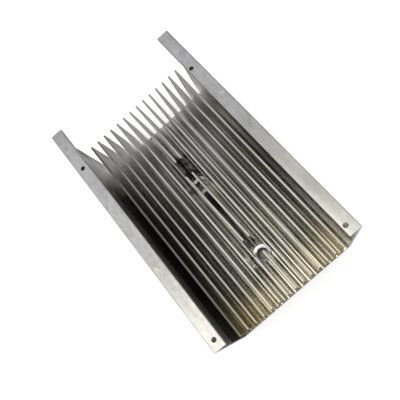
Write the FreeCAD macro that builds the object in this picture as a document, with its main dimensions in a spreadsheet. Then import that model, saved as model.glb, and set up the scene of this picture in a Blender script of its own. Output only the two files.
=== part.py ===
import FreeCAD, Part
import os
import Sketcher

# Extruded heat sink: an aluminium channel whose two side walls end in lips turned
# inward, with a row of tall tapered fins standing on its base between the walls.
# Two bolt holes go through the base on the centre line. A cutter came down over each
# of them, so the two middle fins are notched there and the floor is spot-faced. Three
# of the lengths that the notches left of these fins have been pushed over a little.
#
# Frame, millimetres: X across the channel, Y along the extrusion, +Z up. The origin
# is the middle of the underside. The near end is at -Y, the far end at +Y.

OUT_DIR = "parts"
BODY_NAME = "heat_sink"

# Driving sizes, one row each: alias, value, what it measures.
SIZES = [
    ("overall_width", 150.0, "outside of one wall to outside of the other"),
    ("overall_height", 140.0, "underside of the base to top of the lips"),
    ("overall_length", 250.0, "length of the extrusion"),
    ("base_thickness", 10.0, "underside to the floor between the fins"),
    ("wall_thickness", 4.2, "side walls"),
    ("lip_width", 12.0, "outer face of a wall to the free edge of its lip"),
    ("lip_thickness", 5.0, "lips, top to underside"),
    ("fin_count", 14, "number of fins"),
    ("side_gap", 9.7, "inner face of a wall to the nearest fin's middle, with the row in the middle"),
    ("row_offset", -0.4, "middle of the fin row from the middle of the channel"),
    ("fin_height", 72.0, "floor to fin tip"),
    ("fin_tip_thickness", 2.0, "fin at its tip"),
    ("fin_root_thickness", 4.6, "fin at the floor"),
    ("root_radius", 2.0, "rounding between the floor and the fins and walls"),
    ("tip_radius", 0.5, "rounding of the fin tips"),
    ("lip_edge_radius", 0.6, "rounding of the lip edges"),
    ("heel_radius", 1.5, "rounding of the outer corners of the base"),
    ("bolt_spacing", 106.0, "between the two bolt holes, along the extrusion"),
    ("bolt_middle_offset", -18.3, "middle of the two bolt holes from mid length"),
    ("bolt_hole_diameter", 12.0, "bolt holes through the base"),
    ("bolt_hole_bevel", 0.5, "bevel round the upper rims of the bolt holes"),
    ("cutter_diameter", 20.5, "cutter that notched the middle fins"),
    ("spot_face_depth", 0.6, "how far the cutter went below the floor"),
    ("lip_hole_diameter", 4.2, "screw holes in the lips"),
    ("right_hole_inset", 8.6, "screw holes from the outer edge of the right lip"),
    ("left_hole_inset", 6.4, "screw holes from the outer edge of the left lip"),
    ("far_hole_inset", 48.7, "screw holes from the far end"),
    ("near_hole_inset", 8.5, "screw holes from the near end"),
    ("bend_height", 4.0, "floor to the line where a pushed fin starts to lean"),
    ("right_lean_near", -0.3, "right middle fin at its tip, by the near notch"),
    ("right_lean_far", -1.5, "right middle fin at its tip, by the far notch"),
    ("left_lean_near", 1.85, "left middle fin at its tip, by the near notch"),
    ("left_lean_far", 0.25, "left middle fin at its tip, by the far notch"),
    ("beyond_lean", 2.6, "left middle fin at its tip, just beyond the far notch"),
    ("cut_allowance", 1.0, "how far a cut runs past the metal it goes through"),
]

# Most of the flat between two fins that one rounding may take, and how far a clearing
# reaches from the middle of its fin, as shares of the flat and of the fin pitch.
ROUNDING_SHARE = 0.45
CLEARING_SHARE = 0.45

# Formulas over the sheet that several features share.
ROW_WIDTH = "(sizes.overall_width - 2 * sizes.wall_thickness - 2 * sizes.side_gap)"
PITCH = ROW_WIDTH + " / (sizes.fin_count - 1)"
ROOT_LIMIT = "(%s - sizes.fin_root_thickness) * %g" % (PITCH, ROUNDING_SHARE)
FIN_TIP = "sizes.base_thickness + sizes.fin_height"
BEND_LINE = "sizes.base_thickness + sizes.bend_height"
TAPER_AT_BEND = "(sizes.fin_root_thickness - sizes.fin_tip_thickness) * sizes.bend_height / sizes.fin_height"
THICKNESS_AT_BEND = "(sizes.fin_root_thickness - %s)" % TAPER_AT_BEND
NEAR_BOLT = "sizes.bolt_middle_offset - sizes.bolt_spacing / 2"
FAR_BOLT = "sizes.bolt_middle_offset + sizes.bolt_spacing / 2"
FAR_END = "sizes.overall_length / 2"
INTO_NOTCH = "sizes.cutter_diameter / 4"

# Leaning lengths of the middle fins: name, side of the middle, the straight length they
# take the place of, and the place and the lean of their two end sections.
LEANING = [
    (
        "right_middle", 1, (NEAR_BOLT, FAR_BOLT),
        (NEAR_BOLT + " + " + INTO_NOTCH, "sizes.right_lean_near"),
        (FAR_BOLT + " - " + INTO_NOTCH, "sizes.right_lean_far"),
    ),
    (
        "left_middle", -1, (NEAR_BOLT, FAR_BOLT),
        (NEAR_BOLT + " + " + INTO_NOTCH, "sizes.left_lean_near"),
        (FAR_BOLT + " - " + INTO_NOTCH, "sizes.left_lean_far"),
    ),
    (
        "left_far", -1, (FAR_BOLT, FAR_END),
        (FAR_BOLT + " + " + INTO_NOTCH, "sizes.beyond_lean"),
        (FAR_END, "0"),
    ),
]


def make_sheet(doc):
    """Put the driving sizes in a sheet, one alias to a row."""
    sheet = doc.addObject("Spreadsheet::Sheet", "sizes")
    for row, (alias, value, note) in enumerate(SIZES, start=1):
        sheet.set("A%d" % row, note)
        sheet.set("B%d" % row, str(value))
        sheet.setAlias("B%d" % row, alias)
    doc.recompute()
    return sheet


def origin_feature(body, role):
    """The body's own origin plane or axis that has this role."""
    for feature in body.Origin.OriginFeatures:
        if feature.Role == role:
            return feature
    raise ValueError("no origin feature " + role)


def new_sketch(body, name, plane_role, height=None):
    """A sketch on one of the body's origin planes, raised by an expression if given."""
    sketch = body.newObject("Sketcher::SketchObject", name)
    sketch.AttachmentSupport = [(origin_feature(body, plane_role), "")]
    sketch.MapMode = "FlatFace"
    if height:
        sketch.setExpression("AttachmentOffset.Base.z", height)
    return sketch


def closed_outline(sketch, corners):
    """Straight lines round the corners, each joined to the next; returns their numbers."""
    lines = []
    for start, end in zip(corners, corners[1:] + corners[:1]):
        segment = Part.LineSegment(FreeCAD.Vector(*start, 0), FreeCAD.Vector(*end, 0))
        lines.append(sketch.addGeometry(segment, False))
    for line, following in zip(lines, lines[1:] + lines[:1]):
        sketch.addConstraint(Sketcher.Constraint("Coincident", line, 2, following, 1))
    return lines


def bind(sketch, constraint, expression):
    """Add a size constraint and tie its value to the sheet."""
    index = sketch.addConstraint(constraint)
    sketch.setExpression("Constraints[%d]" % index, expression)


def middle_fin(side):
    """Formula for the place of the middle fin on this side of the fin row's middle."""
    return "(sizes.row_offset + %d * %s / 2)" % (side, PITCH)


def worth(body, expression):
    """What a formula over the sheet comes to."""
    return float(body.evalExpression(expression))


def fin_centres(size):
    """Place of each fin across the channel, from left to right."""
    row_width = size["overall_width"] - 2 * size["wall_thickness"] - 2 * size["side_gap"]
    pitch = row_width / (size["fin_count"] - 1)
    leftmost = size["row_offset"] - row_width / 2
    return [leftmost + number * pitch for number in range(int(size["fin_count"]))]


def half_channel(body, size):
    """Right half of the base with its wall and lip, padded along the extrusion."""
    half_width = size["overall_width"] / 2
    inner_wall = half_width - size["wall_thickness"]
    lip_edge = half_width - size["lip_width"]
    lip_underside = size["overall_height"] - size["lip_thickness"]
    sketch = new_sketch(body, "channel_profile", "XZ_Plane")
    bottom, outside, lip_top, lip_side, lip_under, inside, floor, middle = closed_outline(
        sketch,
        [
            (0, 0),
            (half_width, 0),
            (half_width, size["overall_height"]),
            (lip_edge, size["overall_height"]),
            (lip_edge, lip_underside),
            (inner_wall, lip_underside),
            (inner_wall, size["base_thickness"]),
            (0, size["base_thickness"]),
        ],
    )
    for line in (bottom, lip_top, lip_under, floor):
        sketch.addConstraint(Sketcher.Constraint("Horizontal", line))
    for line in (outside, lip_side, inside, middle):
        sketch.addConstraint(Sketcher.Constraint("Vertical", line))
    sketch.addConstraint(Sketcher.Constraint("Coincident", bottom, 1, -1, 1))
    bind(sketch, Sketcher.Constraint("Distance", bottom, half_width), "sizes.overall_width / 2")
    bind(sketch, Sketcher.Constraint("Distance", outside, size["overall_height"]), "sizes.overall_height")
    bind(sketch, Sketcher.Constraint("Distance", lip_top, size["lip_width"]), "sizes.lip_width")
    bind(sketch, Sketcher.Constraint("Distance", lip_side, size["lip_thickness"]), "sizes.lip_thickness")
    bind(sketch, Sketcher.Constraint("Distance", middle, size["base_thickness"]), "sizes.base_thickness")
    bind(
        sketch,
        Sketcher.Constraint("DistanceX", inside, 1, outside, 1, size["wall_thickness"]),
        "sizes.wall_thickness",
    )
    return pad_along(body, sketch, "half_channel")


def pad_along(body, sketch, name):
    """Pad a profile both ways from mid length to the full length of the extrusion."""
    pad = body.newObject("PartDesign::Pad", name)
    pad.Profile = sketch
    pad.SideType = "Symmetric"
    pad.setExpression("Length", "sizes.overall_length")
    sketch.Visibility = False
    return pad


def mirror_half(body, feature):
    """The left half, mirrored about the middle of the channel."""
    mirrored = body.newObject("PartDesign::Mirrored", "whole_channel")
    mirrored.Originals = [feature]
    mirrored.MirrorPlane = (origin_feature(body, "YZ_Plane"), [""])
    body.Tip = mirrored
    return mirrored


def first_fin(body, size):
    """The leftmost fin: a trapezium, thicker at the floor than at its tip."""
    centre = fin_centres(size)[0]
    half_root = size["fin_root_thickness"] / 2
    half_tip = size["fin_tip_thickness"] / 2
    tip_height = size["base_thickness"] + size["fin_height"]
    sketch = new_sketch(body, "fin_profile", "XZ_Plane")
    root, right, tip, left = closed_outline(
        sketch,
        [
            (centre - half_root, size["base_thickness"]),
            (centre + half_root, size["base_thickness"]),
            (centre + half_tip, tip_height),
            (centre - half_tip, tip_height),
        ],
    )
    sketch.addConstraint(Sketcher.Constraint("Horizontal", root))
    sketch.addConstraint(Sketcher.Constraint("Horizontal", tip))
    sketch.addConstraint(Sketcher.Constraint("Equal", left, right))
    bind(sketch, Sketcher.Constraint("Distance", root, size["fin_root_thickness"]), "sizes.fin_root_thickness")
    bind(sketch, Sketcher.Constraint("Distance", tip, size["fin_tip_thickness"]), "sizes.fin_tip_thickness")
    bind(
        sketch,
        Sketcher.Constraint("DistanceY", -1, 1, root, 1, size["base_thickness"]),
        "sizes.base_thickness",
    )
    bind(
        sketch,
        Sketcher.Constraint("DistanceY", root, 1, tip, 1, size["fin_height"]),
        "sizes.fin_height",
    )
    bind(
        sketch,
        Sketcher.Constraint("DistanceX", root, 1, -1, 1, half_root - centre),
        ROW_WIDTH + " / 2 + sizes.fin_root_thickness / 2 - sizes.row_offset",
    )
    return pad_along(body, sketch, "first_fin")


def fin_row(body, feature):
    """All the fins, side by side across the channel."""
    pattern = body.newObject("PartDesign::LinearPattern", "fin_row")
    pattern.Originals = [feature]
    pattern.Direction = (origin_feature(body, "X_Axis"), [""])
    pattern.setExpression("Length", ROW_WIDTH)
    pattern.setExpression("Occurrences", "sizes.fin_count")
    body.Tip = pattern
    return pattern


def lengthwise_edges(shape, places):
    """Names of the edges that run along the extrusion through the given (x, z) places."""
    names = []
    for number, edge in enumerate(shape.Edges, start=1):
        start = edge.Vertexes[0].Point
        end = edge.Vertexes[-1].Point
        runs_along = abs(start.x - end.x) < 1e-6 and abs(start.z - end.z) < 1e-6
        if runs_along and any(abs(start.x - x) + abs(start.z - z) < 1e-4 for x, z in places):
            names.append("Edge%d" % number)
    if len(names) != len(places):
        raise ValueError("found %d of %d edges" % (len(names), len(places)))
    return names


def round_edges(body, base, name, places, radius_expression):
    """Fillet the lengthwise edges at the given places."""
    fillet = body.newObject("PartDesign::Fillet", name)
    fillet.Base = (base, lengthwise_edges(base.Shape, places))
    fillet.setExpression("Radius", radius_expression)
    body.Document.recompute()
    return fillet


def round_profile(body, base, size):
    """The roundings that the extrusion die left along the part."""
    half_width = size["overall_width"] / 2
    inner_wall = half_width - size["wall_thickness"]
    lip_edge = half_width - size["lip_width"]
    height = size["overall_height"]
    lip_underside = height - size["lip_thickness"]
    floor = size["base_thickness"]
    tip_height = floor + size["fin_height"]
    centres = fin_centres(size)
    root = size["fin_root_thickness"] / 2
    tip = size["fin_tip_thickness"] / 2
    sides = (-1, 1)

    roots = [(centre + side * root, floor) for centre in centres for side in sides]
    roots += [(side * inner_wall, floor) for side in sides]
    root_radius = "min(sizes.root_radius; %s)" % ROOT_LIMIT
    shape = round_edges(body, base, "root_rounding", roots, root_radius)

    tips = [(centre + side * tip, tip_height) for centre in centres for side in sides]
    shape = round_edges(body, shape, "tip_rounding", tips, "sizes.tip_radius")

    lips = [(side * half_width, height) for side in sides]
    lips += [(side * lip_edge, height) for side in sides]
    lips += [(side * lip_edge, lip_underside) for side in sides]
    shape = round_edges(body, shape, "lip_rounding", lips, "sizes.lip_edge_radius")

    heels = [(side * half_width, 0) for side in sides]
    return round_edges(body, shape, "heel_rounding", heels, "sizes.heel_radius")


def check_cut(before, after, name):
    """A cut that took nothing away is a fault."""
    if after.Volume >= before.Volume - 1e-3:
        raise ValueError(name + " cut nothing")


def clear_straight_length(body, name, side, ends):
    """Take a middle fin off above the bend line, from one place along it to another."""
    fin = middle_fin(side)
    reach = "(%s * %g)" % (PITCH, CLEARING_SHARE)
    left = worth(body, fin + " - " + reach)
    width = worth(body, "2 * " + reach)
    near, far = [worth(body, end) for end in ends]
    sketch = new_sketch(body, name + "_plan", "XY_Plane", BEND_LINE)
    front, right, back, left_line = closed_outline(
        sketch, [(left, near), (left + width, near), (left + width, far), (left, far)]
    )
    for line in (front, back):
        sketch.addConstraint(Sketcher.Constraint("Horizontal", line))
    for line in (right, left_line):
        sketch.addConstraint(Sketcher.Constraint("Vertical", line))
    bind(sketch, Sketcher.Constraint("DistanceX", -1, 1, front, 1, left), fin + " - " + reach)
    bind(sketch, Sketcher.Constraint("Distance", front, width), "2 * " + reach)
    bind(sketch, Sketcher.Constraint("DistanceY", -1, 1, front, 1, near), ends[0])
    bind(sketch, Sketcher.Constraint("DistanceY", -1, 1, back, 1, far), ends[1])
    pocket = body.newObject("PartDesign::Pocket", name + "_clearing")
    pocket.Profile = sketch
    pocket.Reversed = True
    pocket.Type = "Length"
    pocket.setExpression("Length", "sizes.fin_height - sizes.bend_height + sizes.cut_allowance")
    sketch.Visibility = False
    body.Document.recompute()
    return pocket


def lean_section(body, name, side, place, lean):
    """Outline of a middle fin above the bend line, its tip moved across by the lean."""
    foot_left = "%s - %s / 2" % (middle_fin(side), THICKNESS_AT_BEND)
    tip_left = "%s + %s - sizes.fin_tip_thickness / 2" % (middle_fin(side), lean)
    foot_x, tip_x = worth(body, foot_left), worth(body, tip_left)
    foot_z, tip_z = worth(body, BEND_LINE), worth(body, FIN_TIP)
    foot_width = worth(body, THICKNESS_AT_BEND)
    tip_width = worth(body, "sizes.fin_tip_thickness")
    sketch = new_sketch(body, name, "XZ_Plane", "-(%s)" % place)
    foot, _, tip, _ = closed_outline(
        sketch,
        [(foot_x, foot_z), (foot_x + foot_width, foot_z), (tip_x + tip_width, tip_z), (tip_x, tip_z)],
    )
    for line in (foot, tip):
        sketch.addConstraint(Sketcher.Constraint("Horizontal", line))
    bind(sketch, Sketcher.Constraint("Distance", foot, foot_width), THICKNESS_AT_BEND)
    bind(sketch, Sketcher.Constraint("Distance", tip, tip_width), "sizes.fin_tip_thickness")
    bind(sketch, Sketcher.Constraint("DistanceX", -1, 1, foot, 1, foot_x), foot_left)
    bind(sketch, Sketcher.Constraint("DistanceY", -1, 1, foot, 1, foot_z), BEND_LINE)
    bind(sketch, Sketcher.Constraint("DistanceX", -1, 1, tip, 2, tip_x), tip_left)
    bind(sketch, Sketcher.Constraint("DistanceY", -1, 1, tip, 2, tip_z), FIN_TIP)
    sketch.Visibility = False
    y = worth(body, place)
    return sketch, [(tip_x, y, tip_z), (tip_x + tip_width, y, tip_z)]


def edges_between(shape, pairs):
    """Names of the edges that join the given pairs of points."""
    names = []
    for number, edge in enumerate(shape.Edges, start=1):
        ends = [edge.Vertexes[0].Point, edge.Vertexes[-1].Point]
        for pair in pairs:
            first, second = [FreeCAD.Vector(*point) for point in pair]
            gaps = [ends[0].distanceToPoint(first) + ends[1].distanceToPoint(second),
                    ends[1].distanceToPoint(first) + ends[0].distanceToPoint(second)]
            if min(gaps) < 1e-4:
                names.append("Edge%d" % number)
    if len(names) != len(pairs):
        raise ValueError("found %d of %d slanting edges" % (len(names), len(pairs)))
    return names


def lean_middle_fins(body):
    """Put the leaning lengths of the middle fins in place of the straight ones."""
    tip_edges = []
    for name, side, straight, near_end, far_end in LEANING:
        whole = body.Tip.Shape
        cleared = clear_straight_length(body, name, side, straight)
        check_cut(whole, cleared.Shape, name + "_clearing")
        near_sketch, near_tips = lean_section(body, name + "_near_section", side, *near_end)
        far_sketch, far_tips = lean_section(body, name + "_far_section", side, *far_end)
        loft = body.newObject("PartDesign::AdditiveLoft", name + "_length")
        loft.Profile = near_sketch
        loft.Sections = [far_sketch]
        loft.Ruled = True
        body.Document.recompute()
        if loft.Shape.Volume <= cleared.Shape.Volume + 1:
            raise ValueError(name + " added nothing")
        tip_edges += list(zip(near_tips, far_tips))
    fillet = body.newObject("PartDesign::Fillet", "leaning_tip_rounding")
    fillet.Base = (loft, edges_between(loft.Shape, tip_edges))
    fillet.setExpression("Radius", "sizes.tip_radius")
    body.Document.recompute()
    return fillet


def circle_at(sketch, x, y, x_expression, y_expression, diameter, diameter_expression):
    """A circle whose centre and diameter are tied to the sheet."""
    circle = Part.Circle(FreeCAD.Vector(x, y, 0), FreeCAD.Vector(0, 0, 1), diameter / 2)
    index = sketch.addGeometry(circle, False)
    if x_expression:
        bind(sketch, Sketcher.Constraint("DistanceX", -1, 1, index, 3, x), x_expression)
    else:
        sketch.addConstraint(Sketcher.Constraint("PointOnObject", index, 3, -2))
    bind(sketch, Sketcher.Constraint("DistanceY", -1, 1, index, 3, y), y_expression)
    bind(sketch, Sketcher.Constraint("Diameter", index, diameter), diameter_expression)


def bolt_circles(body, size, name, diameter_alias):
    """Circles at the two bolt places, drawn on the spot-faced floor."""
    sketch = new_sketch(body, name, "XY_Plane", "sizes.base_thickness - sizes.spot_face_depth")
    for side in (-1, 1):
        circle_at(
            sketch,
            0,
            size["bolt_middle_offset"] + side * size["bolt_spacing"] / 2,
            None,
            "sizes.bolt_middle_offset + %d * sizes.bolt_spacing / 2" % side,
            size[diameter_alias],
            "sizes." + diameter_alias,
        )
    sketch.Visibility = False
    return sketch


def notch_middle_fins(body, size):
    """The cutter's way down through the middle fins to the floor round each bolt hole."""
    sketch = bolt_circles(body, size, "cutter_circles", "cutter_diameter")
    notch = body.newObject("PartDesign::Pocket", "fin_notches")
    notch.Profile = sketch
    notch.Reversed = True
    notch.Type = "Length"
    notch.setExpression("Length", "sizes.fin_height + sizes.spot_face_depth + sizes.cut_allowance")
    body.Document.recompute()
    return notch


def through_hole(body, sketch, name, diameter_alias):
    """Plain drilled holes at the sketch's circles, all the way down."""
    hole = body.newObject("PartDesign::Hole", name)
    hole.Profile = sketch
    body.Document.recompute()
    hole.Threaded = False
    hole.DepthType = "ThroughAll"
    hole.setExpression("Diameter", "sizes." + diameter_alias)
    body.Document.recompute()
    return hole


def bevel_bolt_holes(body, size):
    """The bevel that takes the sharp rim off each bolt hole at the spot-faced floor."""
    height = size["base_thickness"] - size["spot_face_depth"]
    radius = size["bolt_hole_diameter"] / 2
    holes = body.Tip
    rims = []
    for number, edge in enumerate(holes.Shape.Edges, start=1):
        curve = edge.Curve
        if isinstance(curve, Part.Circle):
            if abs(curve.Center.z - height) + abs(curve.Center.x) + abs(curve.Radius - radius) < 1e-4:
                rims.append("Edge%d" % number)
    if len(rims) != 2:
        raise ValueError("found %d rims of the bolt holes" % len(rims))
    bevel = body.newObject("PartDesign::Chamfer", "bolt_hole_bevels")
    bevel.Base = (holes, rims)
    bevel.setExpression("Size", "sizes.bolt_hole_bevel")
    body.Document.recompute()
    return bevel


def lip_hole_circles(body, size):
    """Circles of the four screw holes, drawn on the top of the lips."""
    half_width = size["overall_width"] / 2
    half_length = size["overall_length"] / 2
    columns = [
        (half_width - size["right_hole_inset"], "sizes.overall_width / 2 - sizes.right_hole_inset"),
        (size["left_hole_inset"] - half_width, "sizes.left_hole_inset - sizes.overall_width / 2"),
    ]
    rows = [
        (half_length - size["far_hole_inset"], "sizes.overall_length / 2 - sizes.far_hole_inset"),
        (size["near_hole_inset"] - half_length, "sizes.near_hole_inset - sizes.overall_length / 2"),
    ]
    sketch = new_sketch(body, "lip_hole_circles", "XY_Plane", "sizes.overall_height")
    for x, x_expression in columns:
        for y, y_expression in rows:
            circle_at(
                sketch, x, y, x_expression, y_expression,
                size["lip_hole_diameter"], "sizes.lip_hole_diameter",
            )
    sketch.Visibility = False
    return sketch


def drill_lips(body, size):
    """The screw holes, through the lips only."""
    sketch = lip_hole_circles(body, size)
    holes = body.newObject("PartDesign::Pocket", "lip_holes")
    holes.Profile = sketch
    holes.Type = "Length"
    holes.setExpression("Length", "sizes.lip_thickness + sizes.cut_allowance")
    body.Document.recompute()
    return holes


def build_heat_sink(doc, size):
    """The whole part, as one body."""
    body = doc.addObject("PartDesign::Body", BODY_NAME)
    body.Label = BODY_NAME
    mirror_half(body, half_channel(body, size))
    row = fin_row(body, first_fin(body, size))
    doc.recompute()
    round_profile(body, row, size)
    leaning = lean_middle_fins(body)

    notched = notch_middle_fins(body, size)
    check_cut(leaning.Shape, notched.Shape, "fin_notches")
    bolted = through_hole(
        body, bolt_circles(body, size, "bolt_circles", "bolt_hole_diameter"),
        "bolt_holes", "bolt_hole_diameter",
    )
    check_cut(notched.Shape, bolted.Shape, "bolt_holes")
    bevelled = bevel_bolt_holes(body, size)
    check_cut(bolted.Shape, bevelled.Shape, "bolt_hole_bevels")
    drilled = drill_lips(body, size)
    check_cut(bevelled.Shape, drilled.Shape, "lip_holes")
    body.Tip = drilled
    return body


def check_document(doc, bodies):
    """Stop if any object failed or any body's shape is unsound."""
    for item in doc.Objects:
        if "Invalid" in item.State or "Error" in item.State:
            raise ValueError("%s is %s" % (item.Name, item.State))
    for body in bodies:
        if body.Shape.isNull() or not body.Shape.isValid():
            raise ValueError(body.Label + " has no sound shape")
        if len(body.Shape.Solids) != 1:
            raise ValueError("%s has %d solids" % (body.Label, len(body.Shape.Solids)))


def main():
    doc = FreeCAD.newDocument("extruded_heat_sink")
    sheet = make_sheet(doc)
    size = {alias: float(sheet.get(alias)) for alias, _, _ in SIZES}
    body = build_heat_sink(doc, size)
    doc.recompute()
    check_document(doc, [body])
    os.makedirs(OUT_DIR, exist_ok=True)
    body.Shape.exportStep(os.path.join(OUT_DIR, body.Label + ".step"))
    box = body.Shape.optimalBoundingBox(False, False)
    print("%s: volume %.0f mm3, %.1f x %.1f x %.1f mm, %d faces" % (
        body.Label, body.Shape.Volume, box.XLength, box.YLength, box.ZLength, len(body.Shape.Faces)))


main()
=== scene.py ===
"""Looks of an extruded aluminium heat sink: a channel with turned-in lips and a row of fins.

The metal is drawn from Object coordinates, in millimetres: X across the channel, Y along
the extrusion with the near end at -Y, +Z up from the underside of the base.
"""

import math

import bpy
import numpy as np
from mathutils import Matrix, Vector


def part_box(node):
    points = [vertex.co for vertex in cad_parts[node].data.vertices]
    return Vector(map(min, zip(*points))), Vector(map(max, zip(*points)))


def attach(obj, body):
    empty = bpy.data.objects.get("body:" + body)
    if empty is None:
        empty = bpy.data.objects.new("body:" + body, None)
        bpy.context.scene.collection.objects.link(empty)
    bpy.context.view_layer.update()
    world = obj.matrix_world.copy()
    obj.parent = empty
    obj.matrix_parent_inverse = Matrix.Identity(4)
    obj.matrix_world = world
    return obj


bl_info = {
    "name": "Extruded heat sink",
    "version": (1, 0, 0),
    "blender": (4, 5, 0),
    "location": "View3D > Sidebar > Heat sink",
    "description": "Dresses the heat sink in drawn aluminium and sets up a plain studio for it",
    "category": "Object",
}

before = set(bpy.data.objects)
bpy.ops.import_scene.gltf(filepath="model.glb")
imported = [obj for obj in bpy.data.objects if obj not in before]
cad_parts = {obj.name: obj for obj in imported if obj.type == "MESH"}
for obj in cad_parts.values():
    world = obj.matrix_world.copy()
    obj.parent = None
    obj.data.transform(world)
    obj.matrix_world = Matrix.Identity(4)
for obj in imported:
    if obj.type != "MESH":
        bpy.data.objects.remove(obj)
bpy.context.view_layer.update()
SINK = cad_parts["heat_sink"]
_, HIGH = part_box("heat_sink")
MM = 0.001
# The colour sockets of a Mix node.
MIX_FACTOR, MIX_FIRST, MIX_SECOND, MIX_RESULT = 0, 6, 7, 2

# Noises over the metal: size of the grains along X, Y and Z in millimetres, detail, roughness.
NOISES = {
    "lines": ((0.35, 90.0, 0.35), 3.0, 0.6),
    "bands": ((2.2, 260.0, 2.2), 2.0, 0.5),
    "cloud": ((16.0, 30.0, 16.0), 3.0, 0.5),
    "mottle": ((4.5, 7.0, 4.5), 4.0, 0.6),
    "fine": ((1.6, 2.2, 1.6), 2.0, 0.6),
    "grain": ((0.5, 0.5, 0.5), 2.0, 0.5),
    "notch_shadow_noise": ((3.0, 6.0, 8.0), 3.0, 0.5),
    "patches": ((12.0, 60.0, 50.0), 1.0, 0.5),
    "speckle": ((3.0, 9.0, 3.0), 3.0, 0.5),
}
# How far each noise lightens and darkens the metal.
STREAK_TONES = {"lines": 0.16, "bands": 0.16}
CLOUD_TONES = {"cloud": 0.26, "mottle": 0.42}
LIP_TONES = {"fine": 0.30}
ROUGHNESS_SWING = {"lines": 0.08, "cloud": 0.10}
# How much weaker the noises are between the fins: in tone, in roughness and as relief.
CALMER_INSIDE = {"streaks": 0.85, "clouds": 0.92, "roughness": 0.7, "relief": 0.8}
# Where the noises of the dark strip and of the notch's painted shadow pass from bare metal to
# covered.
SPECKLE_EDGE = (0.15, 0.4)
NOTCH_SHADOW_EDGE = (0.35, 0.6)

# A zone is a product of ramps. A ramp names its axis and says, in millimetres, where it is 0 and
# where it is 1, smooth between; with three numbers it is a band: its middle, reach and fade.
# The axes are x, y and z; abs_x and abs_y, away from the middle; row_x, away from the middle of
# the fin row; over_floor and over_tip, up from the floor between the fins and from their tips.
ROW_MIDDLE = -0.4
WALL_TO_WALL = ("abs_x", 71.4, 71.0)
SAWN = ("abs_y", 124.85, 124.95)
ON_FLOOR = ("over_floor", 0.2, -0.2)
CLOSE_TO_FLOOR = ("over_floor", 2, 1)
BESIDE_WALL = (("row_x", 61.5, 62.0), ("z", 132, 120))
LEFT_LIP, NOT_LEFT_LIP = ("x", -60, -62), ("x", -62, -60)
RIGHT_LIP = ("x", 60, 62)
LIP_SIDE = (("abs_x", 63.7, 63.4), ("z", 134.0, 135.2))
TOP_EDGE = ("z", 139.0, 139.3)
MIDDLE_FLANK = (("y", 95, 70), ("z", 20, 40))
MIDDLE_LEFT = (("x", -48, -40), ("x", 24, 16))
# A dark strip on the floor of the middle gap between the bolt holes.
DARK_STRIP_PLACE = (("x", 0.0, 1.4, 1.4), ("over_floor", 6, 1), ("y", -62, -42), ("y", 32, 20))
ZONES = {
    "inside": (WALL_TO_WALL, ("over_tip", 3, -2)),
    "tip": (("over_tip", 0, 0.3, 0.3), ("abs_x", 66, 65)),
    "sawn": (SAWN,),
    "fin_ends": (SAWN, ("abs_x", 71, 68)),
    "base_end": (SAWN, ON_FLOOR),
    "wall_ends": (("abs_x", 68, 71),),
    "high_ends": (("z", 100, 120),),
    # Painted light at the far end; its last stretch is painted shade.
    "far_end_light": (WALL_TO_WALL, ("y", 66, 103), ("over_floor", 3, 7), ("z", 134, 133)),
    "far_edge_shade": (("y", 109, 121),),
    "high": (("z", 20, 58),),
    # Painted shade on the flanks just below the tips at the far end.
    "rim": (WALL_TO_WALL, ("over_tip", -7, -3), ("over_tip", 0.3, 0.1), ("y", 70, 95)),
    # Painted shade on the floor between the fins at the far end.
    "far_floor": (WALL_TO_WALL, ("y", 84, 108), ("over_floor", 3, 1)),
    "far_half": (("y", 30, 72),),
    "near_end": (("y", -80, -108),),
    "shaded_near": (("y", -75, -112),),
    "towards_walls": (("abs_x", 5, 50),),
    "right_side": (("x", -10, 10),),
    "right_wall_far": (("y", -10, 28),),
    "right_wall_near": (("y", -55, -110),),
    "right_wall_foot": (("z", 34, 22),),
    "lips_near": (("y", 70, -120),),
    "under_lip_top": (("z", 139.9, 139.5),),
    "far_lips": (("y", 40, 90),),
    # Painted shadow of the far notch, between the middle fins.
    "notch_shadow": (("x", 0.0, 7.5, 2.0), ("y", 58, 18, 10), ("z", 70, 30)),
    "on_floor": (ON_FLOOR,),
    "hole_wall": (("over_floor", -0.6, -0.9),),
    "cut_wall": (("over_floor", -0.1, 0.3),),
    "lip_bore": (("z", 134.0, 134.9),),
    # A dark line on the far edge of the floor.
    "dark_line_band": (("x", -13.5, 3.2, 0.8), ("y", 122.8, 123.4)),
    "dark_line_height": (("over_floor", -0.6, 0.5, 0.4),),
    "lip_top": (("z", 139.6, 139.9),),
}
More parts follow.
